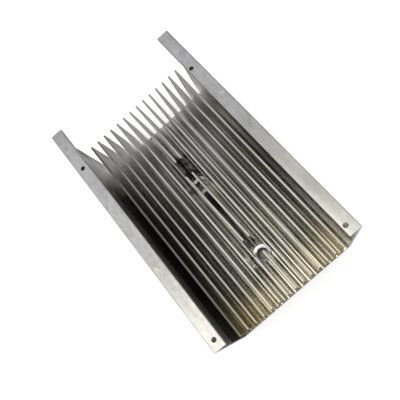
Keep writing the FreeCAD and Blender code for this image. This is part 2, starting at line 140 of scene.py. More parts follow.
# Sums of zones: each row is an amount and the ramps of the zone that it is given to.
SUMS = {
    "warm": (
        (0.42, ("y", 75, 15)),
        (0.43, ("y", -70, -115)),
    ),
    "shade": (
        (1.0, ("x", -4, -50), ("y", 100, 30)),
        (0.4, ("x", -55, -60), ("y", 102, 82)),
        (0.30, ("x", 30, 44), ("y", 80, 45), ("y", -108, -80)),
    ),
    # Painted shade in the gaps between the outer fins and the walls, fading at the far end.
    "wall_gap": (
        (0.15, *BESIDE_WALL),
        (0.85, *BESIDE_WALL, ("y", 108, 86)),
    ),
    # The dark strip, darker towards the far hole.
    "dark_strip": (
        (0.5, *DARK_STRIP_PLACE),
        (0.5, *DARK_STRIP_PLACE, ("y", -18, 2)),
    ),
    # Painted shade on the inner sides of the lips, stronger in the far half.
    "lip_side": (
        (0.24, *LIP_SIDE),
        (0.56, *LIP_SIDE, ("y", -115, 0)),
    ),
    # Painted light and shade between the fins: darker in places along the middle and near the
    # floor, lighter on one flank.
    "inner_tone": (
        (-0.07, ("y", 45, 0), ("y", -110, -90)),
        (-0.11, *MIDDLE_LEFT, ("y", -75, 18, 14)),
        (-0.04, *MIDDLE_LEFT, ("y", -45, 15, 15)),
        (-0.14, CLOSE_TO_FLOOR, ("x", -14, 4, 2), ("y", -80, 8, 8)),
        (-0.17, CLOSE_TO_FLOOR, ("x", -4, 14, 6), ("y", -107, 22, 10)),
        (-0.24, CLOSE_TO_FLOOR, ("x", 37, 9, 3), ("y", -60, -85)),
        (-0.27, *MIDDLE_FLANK, ("x", 15.6, 1.2, 0.8)),
        (-0.10, *MIDDLE_FLANK, ("x", 6.4, 1.4, 0.8)),
        (0.12, *MIDDLE_FLANK, ("x", 11.8, 1.3, 0.6)),
    ),
    # Painted light and shade outside the fins: lighter or darker along the lips, darker towards the
    # far end, and painted shade along the lips' outer top edges.
    "outer_tone": (
        (0.06, LEFT_LIP),
        (-0.32, LEFT_LIP, ("y", 0, -80)),
        (-0.23, LEFT_LIP, ("y", -95, -5)),
        (-0.21, NOT_LEFT_LIP, ("y", -60, 15)),
        (0.06, RIGHT_LIP, ("x", 71, 68), ("y", -35, -65)),
        (0.14, RIGHT_LIP, ("x", 68, 65), ("y", 0, -110)),
        (-0.11, ("y", 70, 110)),
        (-0.05, ("y", 10, 60)),
        (-0.55, ("x", 73.9, 74.5), TOP_EDGE),
        (-0.14, ("x", -73.9, -74.5), TOP_EDGE),
    ),
    "tip_light": (
        (0.28, ("x", -60, -50)),
        (0.28, ("x", -34, -26)),
        (0.12, ("x", 54, 58)),
    ),
    "tip_shade": (
        (0.20, ("y", -35, 5)),
        (0.28, ("y", 60, 90)),
    ),
}
# The share of the tips' painted light, of the notch's painted shadow and of the tarnish that is
# there in any case.
TIP_LIGHT = 0.44
NOTCH_SHADOW_LEAST = 0.55
WARM_IN_MIDDLE = 0.75
# Patches in the tarnish: the least, and what the noise adds.
WARM_PATCHES = (0.82, 0.36)
# How much of the walls' pale colour high sawn ends take, and how much lighter the far end's painted
# light makes the metal.
HIGH_ENDS = 0.6
FAR_END_LIGHT_TONE = 0.025
# Colours laid over the metal in turn: where, how strongly, and which colour.
LAYERS = (
    ("shade", 1.0, "shaded"),
    ("wall_gap", 1.0, "walls"),
    ("outside", 1.0, "lips"),
    ("far_end_light", 1.0, "far_end_light"),
    ("far_floor", 1.0, "far_floor"),
    ("rim", 0.35, "shadowed"),
    ("notch_shadow", 1.0, "notch_shadow"),
    ("tip", 1.0, "tips"),
    ("sawn", 1.0, "sawn"),
    ("dark_strip", 0.95, "dark_strip"),
    ("faced", 0.9, "faced"),
    # Painted highlight on the faced rings.
    ("turned", 0.9, "turned"),
    # Painted shade in the holes, bores and cuts and on the sides of the lips.
    ("dark", 0.9, "shadowed"),
)
# What each finish adds to the roughness and takes from the metallic look; the last row counts
# only outside the far end's zone of painted light.
ROUGHER = {"sawn": 0.25, "fin_ends": 0.5, "tip": 0.12, "dark_strip": 0.10, "far_end_light": 0.3, "turned": 0.12}
METALLIC = 0.95
DULLER = {"far_end_light": 0.26, "far_end_light_high": 0.22, "far_floor": 0.4}
DULLER_IF_BRIGHT = {"sawn": 0.4, "base_end": 0.4, "dark": 0.5, "tip": 0.75, "notch_shadow": 0.4}
# Heights of the relief, as shares of the depth of the die lines.
RELIEF = {"bands": 0.4, "grain": 0.15, "rings": 0.2, "dish": 5.4}

# The marks round a bolt hole. The ring is bright towards RING_LIT and opposite, a painted
# highlight; the sectors are ramps of the cosine. RING_WAVES is radians of the fine circles in a
# millimetre. The edges are in millimetres: the drill's from the middle of the hole, the bright
# ring's from its own radius and the others from the cutter's.
RING_LIT = (0.63, 0.78)
LIT_SECTOR = (0.0, 0.35)
OPPOSITE_SECTOR = (-0.7, -0.85)
UNLIT_SHARE = 0.12
RING_WAVES = 9.0
DRILL_EDGE = (6.3, 6.1)
BRIGHT_EDGE = (0.4, -0.4)
FACED_EDGE = (0.1, -0.2)
DISH_EDGE = (0.05, -0.05)
MILLED_BAND = (0.0, 0.15, 0.1)
# The screw bores in the lips, painted shade inside: the middle of the four, how far each is from
# it, and their edge.
SCREW_MIDDLE = (-1.1, -20.1)
SCREW_REACH = (67.5, 96.4)
SCREW_EDGE = (2.3, 2.15)
# The dark line on the far edge of the floor has a round end.
DARK_LINE_END = (-10.4, 123.4)
DARK_LINE_END_EDGE = (1.7, 1.1)
# Bright marks on the lips: how bright, the middle, and the half length and half width.
SCRATCH_WAY = (0.77, -0.64)
SCRATCH_EDGE = (1.3, 0.6)
SCRATCHES = (
    (0.24, (71.1, 38.1), (2.3, 0.9)),
    (0.24, (-71.0, -42.6), (1.5, 1.1)),
    (0.096, (-69.8, -44.2), (3.0, 0.8)),
)

# The room that shows in metal, and how much darker it is overhead: by what share, and from where
# to where, as the upward part of the direction.
ROOM_SHOWN = 0.8
OVERHEAD = ((0.5, 0.870, 0.912), (0.13, 0.955, 0.99))
# The floor's glow in pictures: in the open, and in a round patch under the near bolt hole, painted
# light with a painted shadow round it.
OPEN_GLOW = 0.5
HOLE_GLOW = 0.10
HOLE_GLOW_PLACE = (0.3, -72.8)
HOLE_GLOW_EDGE = (4.3, 5.0)
# The floor under the part, painted shadow: its darker paint, the tint of its glow, and the width of
# the change.
UNDER_PAINT = (0.6, 0.59, 0.5)
UNDER_TINT = (1, 0.98, 0.86)
UNDER_FADE = 2
# The camera: the sensor in millimetres, and the near clip in metres.
SENSOR_WIDTH = 36.0
CLIP_START = 0.01

BLACK = (0, 0, 0)
WHITE = (1, 1, 1)


class Field:
    """A number that varies over the surface; arithmetic on it adds Math nodes."""

    def __init__(self, graph, socket):
        self.graph = graph
        self.socket = socket

    def __add__(self, other):
        return self.graph.math("ADD", self, other)

    __radd__ = __add__

    def __mul__(self, other):
        return self.graph.math("MULTIPLY", self, other)

    __rmul__ = __mul__

    def __sub__(self, other):
        return self.graph.math("SUBTRACT", self, other)

    def __rsub__(self, other):
        return self.graph.math("SUBTRACT", other, self)

    def __truediv__(self, other):
        return self.graph.math("DIVIDE", self, other)

    def __abs__(self):
        return self.graph.math("ABSOLUTE", self)

    def root(self):
        return self.graph.math("SQRT", self)

    def sine(self):
        return self.graph.math("SINE", self)

    def larger(self, other):
        return self.graph.math("MAXIMUM", self, other)

    def above(self, low, high):
        """0 below low, 1 above high, smooth between; with low over high it falls instead."""
        sockets = {"Value": self, "From Min": low, "From Max": high}
        if low > high:
            sockets.update({"From Min": high, "From Max": low, "To Min": 1.0, "To Max": 0.0})
        smooth = {"interpolation_type": "SMOOTHSTEP"}
        ramp = self.graph.node("ShaderNodeMapRange", smooth, sockets)
        return Field(self.graph, ramp.outputs[0])

    def near(self, middle, reach, fade):
        """1 within reach of the middle, falling to 0 over the fade."""
        return abs(self - middle).above(reach + fade, reach)


class Graph:
    """The node tree of one material or world."""

    def __init__(self, owner):
        owner.use_nodes = True
        self.tree = owner.node_tree
        self.tree.nodes.clear()

    def node(self, kind, settings=None, sockets=None):
        """Add a node: its settings first, then the values or links of its sockets."""
        node = self.tree.nodes.new(kind)
        for name, value in (settings or {}).items():
            setattr(node, name, value)
        for name, value in (sockets or {}).items():
            self.feed(node.inputs[name], value)
        return node

    def feed(self, socket, value):
        """Link a field or a socket, or set a plain value; a plain colour has three parts."""
        if isinstance(value, Field):
            value = value.socket
        if isinstance(value, bpy.types.NodeSocket):
            self.tree.links.new(value, socket)
        elif socket.type == "RGBA":
            socket.default_value = (*value, 1)
        else:
            socket.default_value = value

    def math(self, operation, *values):
        node = self.node("ShaderNodeMath", {"operation": operation})
        for socket, value in zip(node.inputs, values):
            self.feed(socket, value)
        return Field(self, node.outputs[0])

    def mix(self, factor, first, second, blend="MIX"):
        """A colour between two, or blended in another way."""
        settings = {"data_type": "RGBA", "blend_type": blend}
        sockets = {MIX_FACTOR: factor, MIX_FIRST: first, MIX_SECOND: second}
        return self.node("ShaderNodeMix", settings, sockets).outputs[MIX_RESULT]

    def toned(self, colour, tone):
        """The colour made lighter or darker by a field that is 1 where it stays as it is."""
        parts = {"Red": tone, "Green": tone, "Blue": tone}
        grey = self.node("ShaderNodeCombineColor", sockets=parts).outputs[0]
        return self.mix(1.0, colour, grey, "MULTIPLY")


class Surface:
    """The surface point in millimetres, and the noises and zones that are drawn over it."""

    def __init__(self, graph):
        coordinates = graph.node("ShaderNodeTexCoord").outputs["Object"]
        scaling = {0: coordinates, "Scale": 1 / MM}
        scaled = graph.node("ShaderNodeVectorMath", {"operation": "SCALE"}, scaling)
        self.graph = graph
        self.point = scaled.outputs[0]
        parts = graph.node("ShaderNodeSeparateXYZ", sockets={0: self.point}).outputs
        self.x, self.y, self.z = (Field(graph, part) for part in parts)
        self.axes = {
            "x": self.x,
            "y": self.y,
            "z": self.z,
            "abs_x": abs(self.x),
            "abs_y": abs(self.y),
        }

    def noise(self, grains, detail=2.0, roughness=0.5):
        """Noise from 0 to 1 whose grains measure so many millimetres along X, Y and Z."""
        scaling = {0: self.point, 1: grains}
        scaled = self.graph.node("ShaderNodeVectorMath", {"operation": "DIVIDE"}, scaling)
        sockets = {
            "Vector": scaled.outputs[0],
            "Scale": 1.0,
            "Detail": detail,
            "Roughness": roughness,
        }
        return Field(self.graph, self.graph.node("ShaderNodeTexNoise", sockets=sockets).outputs[0])

    def product(self, ramps):
        """The ramps multiplied with one another."""
        fields = []
        for axis, *numbers in ramps:
            along = self.axes[axis]
            fields.append(along.near(*numbers) if len(numbers) == 3 else along.above(*numbers))
        return math.prod(fields[1:], start=fields[0])

    def zone(self, name):
        """The zone of that name, from 0 to 1."""
        return self.product(ZONES[name])

    def total(self, name):
        """The sum of that name: its zones, each times its amount."""
        return sum((amount * self.product(ramps) for amount, *ramps in SUMS[name]), 0.0)

    def distance(self, middle):
        """Distance from an upright line through the middle."""
        return length(self.x - middle[0], self.y - middle[1])


class MetalSettings(bpy.types.PropertyGroup):
    """The heat sink's metal and the places on it that differ in finish."""

    metal: bpy.props.FloatVectorProperty(
        name="Metal", description="Drawn aluminium at the far end", subtype="COLOR", size=3,
        min=0, max=1, default=(0.75, 0.75, 0.765),
    )
    warm_metal: bpy.props.FloatVectorProperty(
        name="Warm metal", description="Drawn aluminium at the near end", subtype="COLOR", size=3,
        min=0, max=1, default=(0.76, 0.745, 0.68),
    )
    faced: bpy.props.FloatVectorProperty(
        name="Faced rings", description="Dull part of the rings that the cutter left on the floor",
        subtype="COLOR", size=3, min=0, max=1, default=(0.30, 0.30, 0.25),
    )
    fins: bpy.props.FloatVectorProperty(
        name="Fins", description="Metal between the fins, towards the far end", subtype="COLOR",
        size=3, min=0, max=1, default=(0.87, 0.868, 0.845),
    )
    tarnish: bpy.props.FloatVectorProperty(
        name="Tarnish", description="Metal between the fins, towards the near end",
        subtype="COLOR", size=3, min=0, max=1, default=(0.85, 0.79, 0.60),
    )
    # Tarnish, and painted light: lighter at the near end, where light reaches in from the open end.
    near_tarnish_lit: bpy.props.FloatVectorProperty(
        name="Tarnish, near end", description="Metal between the fins at the near end",
        subtype="COLOR", size=3, min=0, max=1, default=(0.925, 0.855, 0.69),
    )
    # A dark strip along the floor between the bolt holes, darker towards the far hole.
    dark_strip: bpy.props.FloatVectorProperty(
        name="Grime", description="Black film on the floor between the bolt holes",
        subtype="COLOR", size=3, min=0, max=1, default=(0.03, 0.03, 0.028),
    )
    # Painted highlight: the bright sectors of the faced rings.
    turned: bpy.props.FloatVectorProperty(
        name="Turned metal", description="Fresh metal where the cutter faced the floor",
        subtype="COLOR", size=3, min=0, max=1, default=(0.95, 0.945, 0.90),
    )
    # Painted light on the upper flanks at the far end, lit from the open end.
    far_end_light: bpy.props.FloatVectorProperty(
        name="Dull ends", description="Fins and walls at the far end", subtype="COLOR", size=3,
        min=0, max=1, default=(0.975, 0.965, 0.94),
    )
    # Painted light: the fins are lighter towards the far end, where light reaches in.
    far_fins_lit: bpy.props.FloatVectorProperty(
        name="Far fins", description="Metal between the fins before the dull ends",
        subtype="COLOR", size=3, min=0, max=1, default=(0.975, 0.97, 0.95),
    )
    # Painted shade on the floor between the fins at the far end.
    far_floor: bpy.props.FloatVectorProperty(
        name="Far floor", description="Floor between the fins at the far end", subtype="COLOR",
        size=3, min=0, max=1, default=(0.62, 0.62, 0.605),
    )
    # Painted shade on the last stretch of the fins before the far end.
    far_edge_shade: bpy.props.FloatVectorProperty(
        name="Dull edges", description="Last stretch of the fins before their far ends",
        subtype="COLOR", size=3, min=0, max=1, default=(0.20, 0.198, 0.193),
    )
    # Painted light on the feet of the fins at the far end.
    far_feet_light: bpy.props.FloatVectorProperty(
        name="Dull feet", description="Feet of the fins at the far end", subtype="COLOR", size=3,
        min=0, max=1, default=(0.95, 0.945, 0.93),
    )
    # Painted shade on the inner faces of the walls, under the lips.
    left_wall: bpy.props.FloatVectorProperty(
        name="Left wall", description="Inner face of the left wall", subtype="COLOR", size=3,
        min=0, max=1, default=(0.36, 0.35, 0.31),
    )
    right_wall: bpy.props.FloatVectorProperty(
        name="Right wall", description="Inner face of the right wall", subtype="COLOR", size=3,
        min=0, max=1, default=(0.35, 0.338, 0.306),
    )
    # Tarnish, and painted light: the right wall is lighter at the near end.
    warm_lit_wall: bpy.props.FloatVectorProperty(
        name="Right wall, near end", description="The same, tarnished at the near end",
        subtype="COLOR", size=3, min=0, max=1, default=(0.50, 0.445, 0.31),
    )
    # Painted shade on the far half of the right wall.
    right_far_shade: bpy.props.FloatVectorProperty(
        name="Right wall, far half", description="The same, a little darker", subtype="COLOR",
        size=3, min=0, max=1, default=(0.19, 0.186, 0.172),
    )
    # Painted light on the foot of the right wall.
    right_foot_lit: bpy.props.FloatVectorProperty(
        name="Right foot", description="Foot of the right wall", subtype="COLOR", size=3,
        min=0, max=1, default=(0.97, 0.95, 0.88),
    )
    # Painted shadow of the far notch.
    notch_shadow: bpy.props.FloatVectorProperty(
        name="Stain", description="Dark oil left in the far notch", subtype="COLOR", size=3,
        min=0, max=1, default=(0.10, 0.10, 0.08),
    )
    # The tips' colour, made lighter and darker along the row by painted light and shade.
    tips: bpy.props.FloatVectorProperty(
        name="Fin tips", description="Rounded tips of the fins", subtype="COLOR", size=3,
        min=0, max=1, default=(0.90, 0.885, 0.83),
    )
    warm_tips: bpy.props.FloatVectorProperty(
        name="Fin tips, near end", description="The same, tarnished at the near end",
        subtype="COLOR", size=3, min=0, max=1, default=(0.84, 0.775, 0.61),
    )
    sawn: bpy.props.FloatVectorProperty(
        name="Sawn ends", description="Cut faces of the walls at both ends", subtype="COLOR",
        size=3, min=0, max=1, default=(0.36, 0.35, 0.33),
    )
    sawn_fins: bpy.props.FloatVectorProperty(
        name="Sawn fins", description="Cut faces of the fins and the base at both ends",
        subtype="COLOR", size=3, min=0, max=1, default=(0.20, 0.175, 0.12),
    )
    # Painted shade between the fins, mostly towards the left wall, which keeps the light out.
    shaded: bpy.props.FloatVectorProperty(
        name="Left fins", description="Darker metal between the fins towards the left wall",
        subtype="COLOR", size=3, min=0, max=1, default=(0.52, 0.51, 0.45),
    )
    # Lighter at the near end as painted light, and tarnished.
    shaded_warm: bpy.props.FloatVectorProperty(
        name="Left fins, near end", description="The same, tarnished at the near end",
        subtype="COLOR", size=3, min=0, max=1, default=(0.70, 0.64, 0.49),
    )
    # Painted shade in the holes, the screw bores, the cuts in the fins, on the lips' sides and
    # below the tips at the far end; the same colour marks the dark line on the far edge.
    shadowed: bpy.props.FloatVectorProperty(
        name="Dark edges", description="Dirt in the holes and the gouge and along sharp edges",
        subtype="COLOR", size=3, min=0, max=1, default=(0.09, 0.08, 0.045),
    )
    roughness: bpy.props.FloatProperty(
        name="Roughness", description="Of the walls and lips", subtype="FACTOR", min=0, max=1,
        default=0.30,
    )
    inner_roughness: bpy.props.FloatProperty(
        name="Inner roughness", description="Of the fins and the floor", subtype="FACTOR", min=0,
        max=1, default=0.11,
    )
    line_depth: bpy.props.FloatProperty(
        name="Die lines", description="Depth of the fine lines along the extrusion",
        subtype="DISTANCE", unit="LENGTH", default=0.00004,
    )
    bolt_rows: bpy.props.FloatVectorProperty(
        name="Bolt holes", description="Places of the two bolt holes along the extrusion",
        unit="LENGTH", size=2, default=(-0.0713, 0.0347),
    )
    ring_radius: bpy.props.FloatProperty(
        name="Bright ring", description="Radius of the bright part of a faced ring",
        subtype="DISTANCE", unit="LENGTH", default=0.0097,
    )
    cutter_radius: bpy.props.FloatProperty(
        name="Cutter radius", description="Radius of the faced rings", subtype="DISTANCE",
        unit="LENGTH", default=0.01025,
    )
    floor_height: bpy.props.FloatProperty(
        name="Floor height", description="Floor between the fins", subtype="DISTANCE",
        unit="LENGTH", default=0.010,
    )
    tip_height: bpy.props.FloatProperty(
        name="Tip height", description="Tips of the fins", subtype="DISTANCE", unit="LENGTH",
        default=0.082,
    )


class BurrSettings(bpy.types.PropertyGroup):
    """Two small burrs of bright metal: one on a fin's flank, one on the floor."""

    flank_place: bpy.props.FloatVectorProperty(
        name="Flank burr", description="Middle of the burr on the fin", subtype="TRANSLATION",
        unit="LENGTH", size=3, default=(-0.0123, -0.0812, 0.056),
    )
    flank_size: bpy.props.FloatVectorProperty(
        name="Flank burr size", description="Half sizes of the burr on the fin",
        subtype="XYZ_LENGTH", unit="LENGTH", size=3, default=(0.0014, 0.0019, 0.0018),
    )
    floor_place: bpy.props.FloatVectorProperty(
        name="Floor burr", description="Middle of the burr on the floor", subtype="TRANSLATION",
        unit="LENGTH", size=3, default=(0.0092, 0.058, 0.0105),
    )
    floor_size: bpy.props.FloatVectorProperty(
        name="Floor burr size", description="Half sizes of the burr on the floor",
        subtype="XYZ_LENGTH", unit="LENGTH", size=3, default=(0.0011, 0.0010, 0.0008),
    )
    lumps: bpy.props.FloatProperty(
        name="Lumps", description="Height of the lumps as a share of the size", subtype="FACTOR",
        min=0, max=1, default=0.22,
    )
    metal: bpy.props.FloatVectorProperty(
        name="Burr metal", description="Bright torn metal", subtype="COLOR", size=3,
        min=0, max=1, default=(0.96, 0.95, 0.91),
    )


class StageSettings(bpy.types.PropertyGroup):
    """The floor, the lamp, the light from all round and the camera."""

    floor_size: bpy.props.FloatProperty(
        name="Floor", description="Side of the floor", subtype="DISTANCE", unit="LENGTH",
        default=12.0,
    )
    floor_colour: bpy.props.FloatVectorProperty(
        name="Floor colour", description="Paint of the floor", subtype="COLOR", size=3,
        min=0, max=1, default=(0.82, 0.82, 0.82),
    )
    key_power: bpy.props.FloatProperty(
        name="Key lamp", description="Power of the soft lamp overhead", subtype="POWER",
        unit="POWER", default=2.8,
    )
    key_size: bpy.props.FloatProperty(
        name="Key size", description="Side of the soft lamp", subtype="DISTANCE", unit="LENGTH",
        default=0.75,
    )
    key_place: bpy.props.FloatVectorProperty(
        name="Key place", description="Middle of the soft lamp", subtype="TRANSLATION",
        unit="LENGTH", size=3, default=(-0.20, -0.20, 1.1),
    )
    sky_level: bpy.props.FloatProperty(
        name="Room light", description="Strength of the light from all round", subtype="FACTOR",
        min=0, soft_max=1, default=0.64,
    )
    camera_place: bpy.props.FloatVectorProperty(
        name="Camera place", description="Where the camera stands", subtype="TRANSLATION",
        unit="LENGTH", size=3, default=(0.01698, -0.14338, 0.48994),
    )
    camera_turn: bpy.props.FloatVectorProperty(
        name="Camera turn", description="The camera's XYZ angles", subtype="EULER",
        unit="ROTATION", size=3,
        default=(math.radians(12.2144), math.radians(15.0648), math.radians(-39.6850)),
    )
    lens: bpy.props.FloatProperty(
        name="Lens", description="Focal length on a sensor 36 mm wide", unit="CAMERA",
        default=39.633,
    )


def length(first, second):
    """Length of a line whose two parts are fields."""
    return (first * first + second * second).root()


def swing(noise, amounts):
    """The noises, each about 0 and times its amount, added up."""
    return sum((amount * (noise[name] - 0.5) for name, amount in amounts.items()), 0.0)


def weighed(masks, weights):
    """The masks, each times its weight, added up."""
    return sum((weight * masks[name] for name, weight in weights.items()), 0.0)


def scratch(surface, middle, reach):
    """1 on a short bright mark across a lip, 0 past it; reach is its half length and half width."""
    x, y = surface.x - middle[0], surface.y - middle[1]
    along = (x * SCRATCH_WAY[0] + y * SCRATCH_WAY[1]) / reach[0]
    aside = (x * SCRATCH_WAY[1] - y * SCRATCH_WAY[0]) / reach[1]
    return length(along, aside).above(*SCRATCH_EDGE)


def bolt_marks(surface, look):
    """What the tools left round the bolt holes, both holes together.

    faced is the ring that the cutter left on the floor, turned its bright part, a painted
    highlight in two opposite sectors, rings the fine circles in it and dish its fall towards the
    middle; drilled is the wall of the hole and milled the side of the cut in the fins; both are
    painted shade.
    """
    total = dict.fromkeys(("turned", "faced", "rings", "dish", "drilled", "milled"), 0.0)
    for row in look.bolt_rows:
        along = surface.y - row / MM
        radius = length(surface.x, along)
        # Painted highlight in two opposite sectors of the ring.
        facing = (surface.x * RING_LIT[0] + along * RING_LIT[1]) / radius
        sector = facing.above(*LIT_SECTOR) + facing.above(*OPPOSITE_SECTOR)
        lit = UNLIT_SHARE + (1 - UNLIT_SHARE) * sector
        past_bright = radius - look.ring_radius / MM
        past_cutter = radius - look.cutter_radius / MM
        faced = past_cutter.above(*FACED_EDGE)
        marks = {
            "turned": past_bright.above(*BRIGHT_EDGE) * lit,
            "faced": faced,
            "rings": (radius * RING_WAVES).sine() * faced,
            "dish": past_cutter * past_cutter.above(*DISH_EDGE),
            "drilled": radius.above(*DRILL_EDGE),
            "milled": past_cutter.near(*MILLED_BAND),
        }
        total = {name: mark + total[name] for name, mark in marks.items()}
    for name in ("turned", "faced", "rings", "dish"):
        total[name] = total[name] * surface.zone("on_floor")
    total["drilled"] = total["drilled"] * surface.zone("hole_wall")
    total["milled"] = total["milled"] * surface.zone("cut_wall")
    return total


def dark_places(surface, masks):
    """Painted shade on the sides of the lips, in the walls of the holes and cuts and in the screw
    bores, and the dark line on the far edge.
    """
    shown = surface.zone("under_lip_top").larger(surface.zone("far_lips"))
    lip_side = surface.total("lip_side") * shown
    across = abs(surface.x - SCREW_MIDDLE[0]) - SCREW_REACH[0]
    along = abs(surface.y - SCREW_MIDDLE[1]) - SCREW_REACH[1]
    screws = length(across, along).above(*SCREW_EDGE) * surface.zone("lip_bore")
    dark_line = surface.zone("dark_line_band") + surface.distance(DARK_LINE_END).above(*DARK_LINE_END_EDGE)
    dark_line = dark_line * surface.zone("dark_line_height")
    return lip_side.larger(masks["drilled"]).larger(masks["milled"]).larger(screws).larger(dark_line)


def finishes(surface, look, noise):
    """Where each finish lies, from 0 to 1, by name."""
    names = ("inside", "tip", "sawn", "fin_ends", "base_end", "far_end_light", "far_floor")
    masks = {name: surface.zone(name) for name in names}
    masks.update(bolt_marks(surface, look))
    masks["outside"] = 1 - masks["inside"]
    masks["far_end_light_high"] = masks["far_end_light"] * surface.zone("high")
    masks["rim"] = surface.zone("rim") * (1 - masks["tip"])
    masks["shade"] = surface.total("shade")
    masks["wall_gap"] = surface.total("wall_gap")
    # Painted shadow of the far notch, broken up by noise.
    notch_shadow_noise = NOTCH_SHADOW_LEAST + (1 - NOTCH_SHADOW_LEAST) * noise["notch_shadow_noise"].above(*NOTCH_SHADOW_EDGE)
    masks["notch_shadow"] = surface.zone("notch_shadow") * notch_shadow_noise
    # The dark strip, broken up by noise.
    masks["dark_strip"] = surface.total("dark_strip") * noise["speckle"].above(*SPECKLE_EDGE)
    masks["dark"] = dark_places(surface, masks)
    return masks


def finish_colours(surface, look):
    """The colour of each finish by name, some of them graded along the extrusion; painted light and
    shade are among them.
    """
    mix, zone = surface.graph.mix, surface.zone
    # Painted shade on the right wall, with painted light at the near end and at its foot.
    right_wall = mix(zone("right_wall_far"), look.right_wall, look.right_far_shade)
    right_wall = mix(zone("right_wall_near"), right_wall, look.warm_lit_wall)
    right_wall = mix(zone("right_wall_foot"), right_wall, look.right_foot_lit)
    # Painted light at the far end: lit feet and upper flanks, painted shade on the last stretch.
    far_end_light_high = mix(zone("far_edge_shade"), look.far_end_light, look.far_edge_shade)
    tips = mix(zone("near_end"), look.tips, look.warm_tips)
    # Painted light and shade along the tips.
    tip_light = (TIP_LIGHT + surface.total("tip_light")) * (1 - surface.total("tip_shade"))
    pale_ends = zone("wall_ends").larger(HIGH_ENDS * zone("high_ends"))
    colours = {
        # Painted light: lighter between the fins towards the far end.
        "fins": mix(zone("far_half"), look.fins, look.far_fins_lit),
        # Tarnish between the fins, lighter at the near end as painted light.
        "tarnish": mix(zone("near_end"), look.tarnish, look.near_tarnish_lit),
        "shaded": mix(zone("shaded_near"), look.shaded, look.shaded_warm),
        "walls": mix(zone("right_side"), look.left_wall, right_wall),
        "lips": mix(zone("lips_near"), look.metal, look.warm_metal),
        "far_end_light": mix(zone("high"), look.far_feet_light, far_end_light_high),
        "tips": mix(tip_light, BLACK, tips),
        "sawn": mix(pale_ends, look.sawn_fins, look.sawn),
    }
    for name in ("far_floor", "shadowed", "notch_shadow", "dark_strip", "faced", "turned"):
        colours[name] = getattr(look, name)
    return colours


def metal_tone(surface, masks, noise):
    """How light the metal is, 1 where it is as its colour says; painted light and shade are part of
    it.
    """
    inside, outside = masks["inside"], masks["outside"]
    tone = 1 + swing(noise, STREAK_TONES) * (1 - CALMER_INSIDE["streaks"] * inside)
    clouds = swing(noise, CLOUD_TONES) + swing(noise, LIP_TONES) * outside
    tone = tone + clouds * (1 - CALMER_INSIDE["clouds"] * inside)
    tone = tone + surface.total("inner_tone") * inside + surface.total("outer_tone") * outside
    marks = sum((bright * scratch(surface, *where) for bright, *where in SCRATCHES), 0.0)
    return tone + marks * surface.zone("lip_top") + FAR_END_LIGHT_TONE * masks["far_end_light"]


def metal_colour(surface, look, masks, noise):
    """Clean metal towards the far end, tarnished towards the near end, and the layers on it,
    painted light and shade among them.
    """
    g = surface.graph
    colours = finish_colours(surface, look)
    spread = WARM_IN_MIDDLE + (1 - WARM_IN_MIDDLE) * surface.zone("towards_walls")
    patches = WARM_PATCHES[0] + WARM_PATCHES[1] * noise["patches"]
    warm = surface.total("warm") * spread * patches
    colour = g.mix(warm, colours["fins"], colours["tarnish"])
    for where, strength, name in LAYERS:
        colour = g.mix(masks[where] * strength, colour, colours[name])
    return g.toned(colour, metal_tone(surface, masks, noise))


def metal_relief(masks, noise):
    """Height of the die lines, the grain of the lips and the marks of the cutter."""
    lines = noise["lines"] + RELIEF["bands"] * noise["bands"]
    height = lines * (1 - CALMER_INSIDE["relief"] * masks["inside"])
    height = height + RELIEF["grain"] * noise["grain"] * masks["outside"]
    return height + RELIEF["rings"] * masks["rings"] + RELIEF["dish"] * masks["dish"]


def extruded_aluminium(look):
    """Drawn aluminium: fine lines along Y, tarnish between the fins, faced rings at the bolts."""
    material = bpy.data.materials.new("extruded_aluminium")
    g = Graph(material)
    surface = Surface(g)
    surface.axes["row_x"] = abs(surface.x - ROW_MIDDLE)
    surface.axes["over_floor"] = surface.z - look.floor_height / MM
    surface.axes["over_tip"] = surface.z - look.tip_height / MM
    noise = {name: surface.noise(*numbers) for name, numbers in NOISES.items()}
    masks = finishes(surface, look, noise)
    inside = masks["inside"]
    uneven = swing(noise, ROUGHNESS_SWING) * (1 - CALMER_INSIDE["roughness"] * inside)
    rough = look.roughness + (look.inner_roughness - look.roughness) * inside + uneven
    metallic = METALLIC - weighed(masks, DULLER)
    metallic = metallic - weighed(masks, DULLER_IF_BRIGHT) * (1 - masks["far_end_light"])
    relief = {
        "Strength": 0.6,
        "Distance": look.line_depth,
        "Height": metal_relief(masks, noise),
    }
    shader = g.node(
        "ShaderNodeBsdfPrincipled",
        sockets={
            "Base Color": metal_colour(surface, look, masks, noise),
            "Metallic": metallic,
            "Roughness": rough + weighed(masks, ROUGHER),
            "Specular IOR Level": 0.15,
            "Normal": g.node("ShaderNodeBump", sockets=relief).outputs[0],
        },
    )
    g.node("ShaderNodeOutputMaterial", sockets={"Surface": shader.outputs[0]})
    return material


class HEATSINK_OT_dress(bpy.types.Operator):
    """Give the extrusion its metal"""

    bl_idname = "heatsink.dress"
    bl_label = "Dress the extrusion"

    def execute(self, context):
        SINK.data.materials.clear()
        SINK.data.materials.append(extruded_aluminium(context.scene.heatsink_metal))
        return {"FINISHED"}


def torn_metal(look):
    """Bright torn aluminium, a little uneven."""
    material = bpy.data.materials.new("torn_metal")
    g = Graph(material)
    grain = Surface(g).noise((0.4, 0.4, 0.4))
    relief = {"Strength": 0.4, "Distance": 0.0001, "Height": grain}
    shader = g.node(
        "ShaderNodeBsdfPrincipled",
        sockets={
            "Base Color": g.toned(look.metal, 0.85 + 0.3 * grain),
            "Metallic": 1.0,
            "Roughness": 0.1 + 0.2 * grain,
            "Normal": g.node("ShaderNodeBump", sockets=relief).outputs[0],
        },
    )
    g.node("ShaderNodeOutputMaterial", sockets={"Surface": shader.outputs[0]})
    return material


